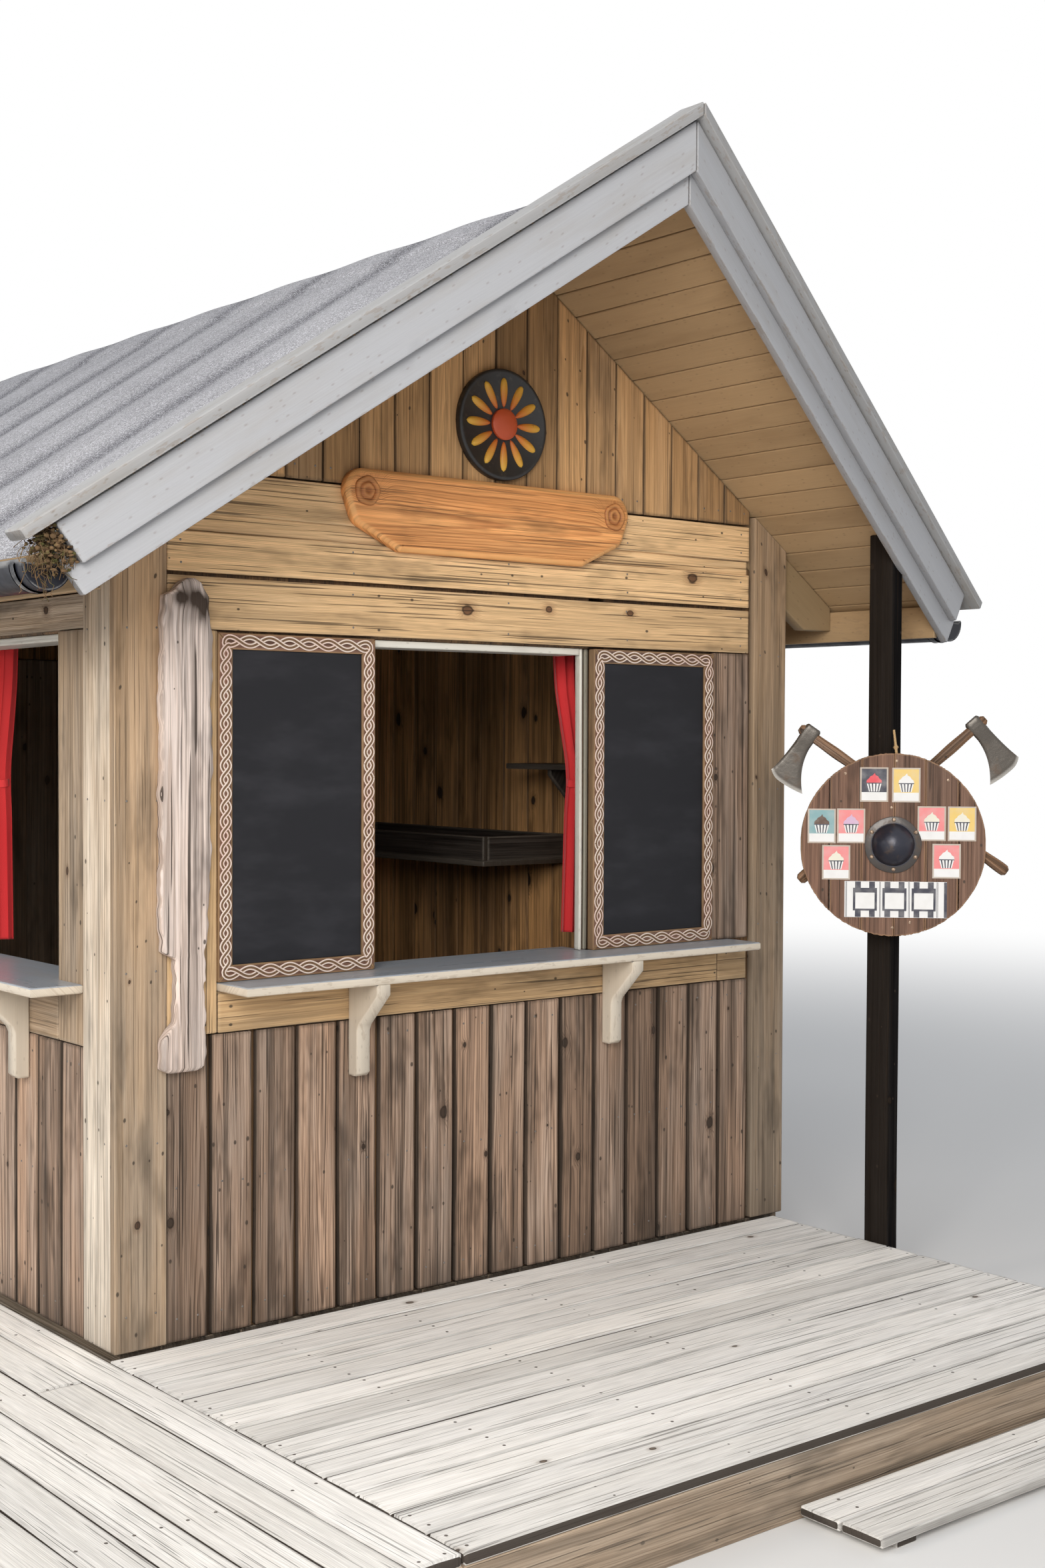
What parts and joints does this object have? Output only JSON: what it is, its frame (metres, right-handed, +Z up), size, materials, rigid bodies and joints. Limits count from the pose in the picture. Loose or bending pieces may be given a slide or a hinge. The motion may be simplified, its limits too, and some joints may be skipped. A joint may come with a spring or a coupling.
{
  "type": "wooden market hut",
  "caption": "Timber market hut with a prow-shaped gable roof, serving hatches with counters, chalkboards, a round shield on a post, and timber decks.",
  "frame": {"origin": "on the ground, under the middle of the hut's plan over its cladding", "axes": "+Z up, +X to the right seen from the front, and +Y into the hut's depth, away from the serving front"},
  "size_m": [4.2435, 5.704, 3.4672],
  "materials": {
    "floor_boards": "worn inside floor boards",
    "bearer_timber": "rough sawn bearer",
    "wall_frame": "dark stained lining",
    "cladding": "weathered spruce",
    "beige_paint": "beige painted wood",
    "grey_paint": "pale grey painted wood",
    "white_paint": "white painted wood",
    "felt": "granulated roofing felt",
    "gutter": "near black coated steel",
    "counter_top": "blue-grey gloss paint on wood",
    "chalkboard": "black chalkboard paint in a brown carved frame",
    "curtain": "red cotton cloth",
    "varnished_pine": "orange-brown varnished pine",
    "black_paint": "black painted wood with orange petals",
    "driftwood": "bleached driftwood",
    "black_shelf": "black painted shelf boards",
    "black_post": "black tarred post",
    "stained_board": "reddish brown stained boards",
    "steel": "dark forged steel and ash handles",
    "deck_boards": "bleached deck boards",
    "deck_frame": "brown-grey joists and rims"
  },
  "bodies": {
    "root": {"floor": "floor_boards", "floor_bearers": "bearer_timber", "front_wall_left": "wall_frame", "front_wall_right": "wall_frame", "front_wall_below_hatch": "wall_frame", "front_wall_over_hatch": "wall_frame", "left_wall_front": "wall_frame", "left_wall_rear": "wall_frame", "left_wall_below_hatch": "wall_frame", "left_wall_over_hatch": "wall_frame", "right_wall": "wall_frame", "rear_wall": "wall_frame", "rear_door": "cladding", "front_cladding": "cladding", "front_header_boards": "cladding", "gable_cladding": "cladding", "left_cladding": "cladding", "right_cladding": "cladding", "rear_cladding": "cladding", "corner_boards": "cladding", "rafters": "beige_paint", "eave_blocking": "wall_frame", "roof_boards_left": "beige_paint", "roof_boards_right": "beige_paint", "roof_felt": "felt", "barge_boards_outer": "grey_paint", "barge_boards_inner": "grey_paint", "barge_caps": "grey_paint", "rear_barge_boards": "grey_paint", "eave_fascias": "beige_paint", "gutters": "gutter", "front_counter": "counter_top", "side_counter": "counter_top", "counter_brackets": "beige_paint", "chalkboards": "chalkboard", "hatch_frames": "white_paint", "hatch_curtains": "curtain", "inner_shelves": "black_shelf", "sign_plaque": "varnished_pine", "sign_rosette": "black_paint", "driftwood_plank": "driftwood", "roof_post": "black_post", "shield_board": "stained_board", "shield_boss": "steel", "crossed_axes": "steel", "front_deck_boards": "deck_boards", "side_deck_boards": "deck_boards", "deck_frame": "deck_frame", "front_step": "deck_boards"}
  },
  "joints": []
}
